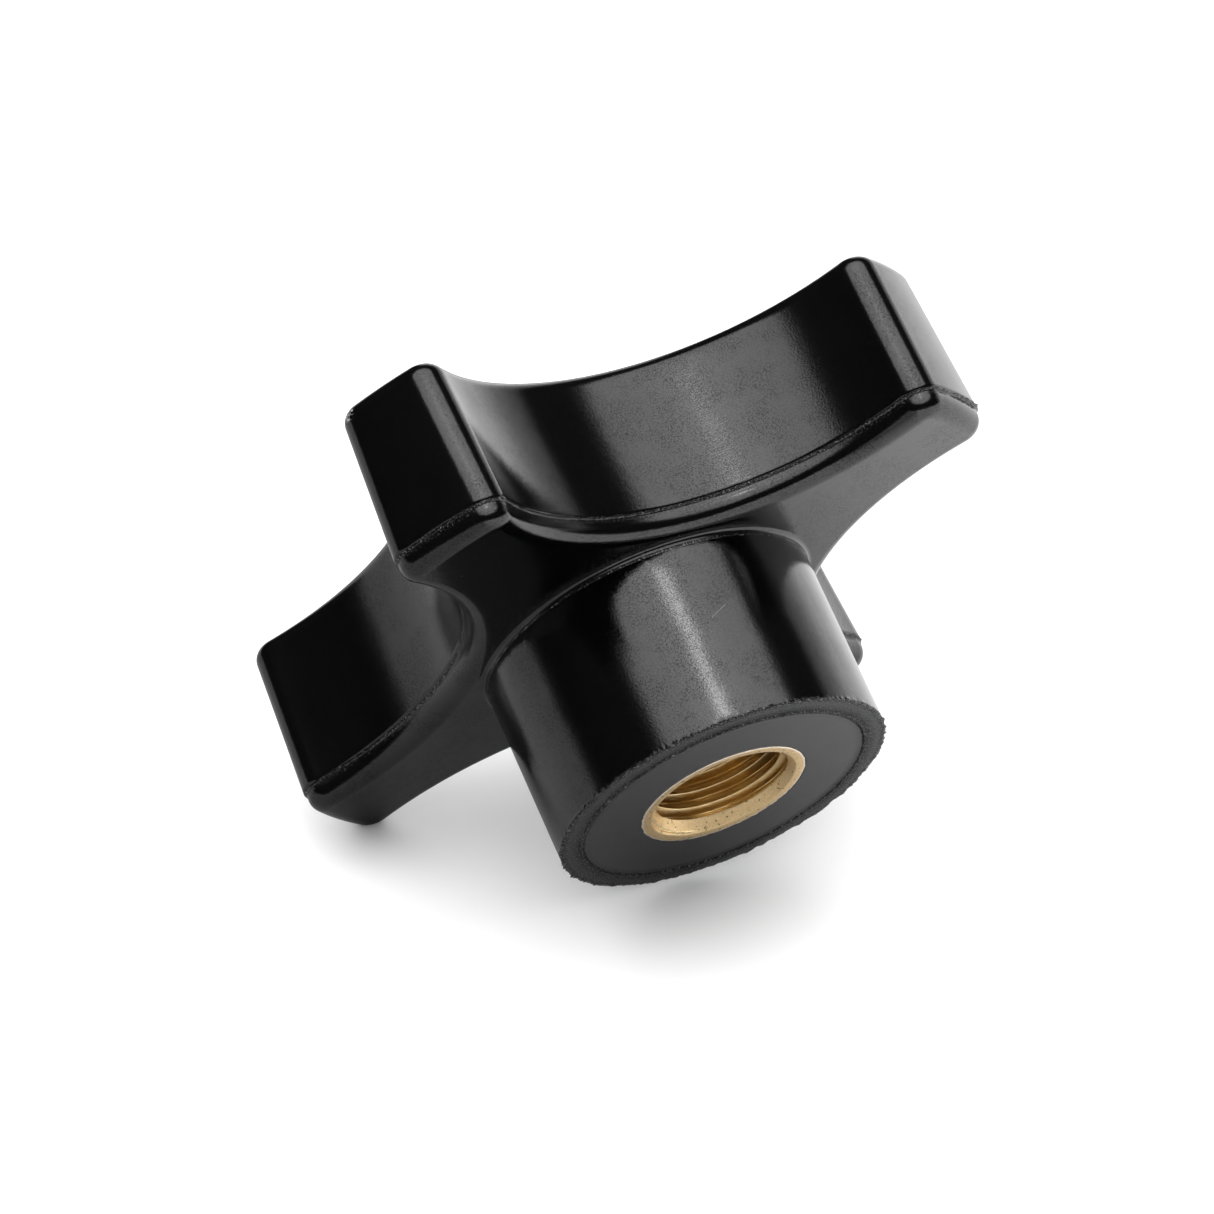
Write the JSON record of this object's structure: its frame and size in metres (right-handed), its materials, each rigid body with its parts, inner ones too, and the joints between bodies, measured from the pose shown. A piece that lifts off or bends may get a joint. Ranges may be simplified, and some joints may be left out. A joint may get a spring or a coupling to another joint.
{
  "type": "lobed clamping knob",
  "caption": "Lobed hand knob for clamping: moulded gloss black grip with a round hub and a moulded-in brass bush holding a blind right-hand thread.",
  "frame": {"origin": "centre of the hub's end face, on the thread's axis", "axes": "+Z along the thread's axis from the hub's end face up into the lobed head; +X and +Y through the middle of neighbouring lobes"},
  "size_m": [0.05, 0.05, 0.0247],
  "materials": {
    "moulding": "polished black phenolic moulding",
    "bush": "turned and tapped, unplated"
  },
  "bodies": {
    "root": {"grip_body": "moulding", "threaded_bush": "bush"}
  },
  "joints": []
}
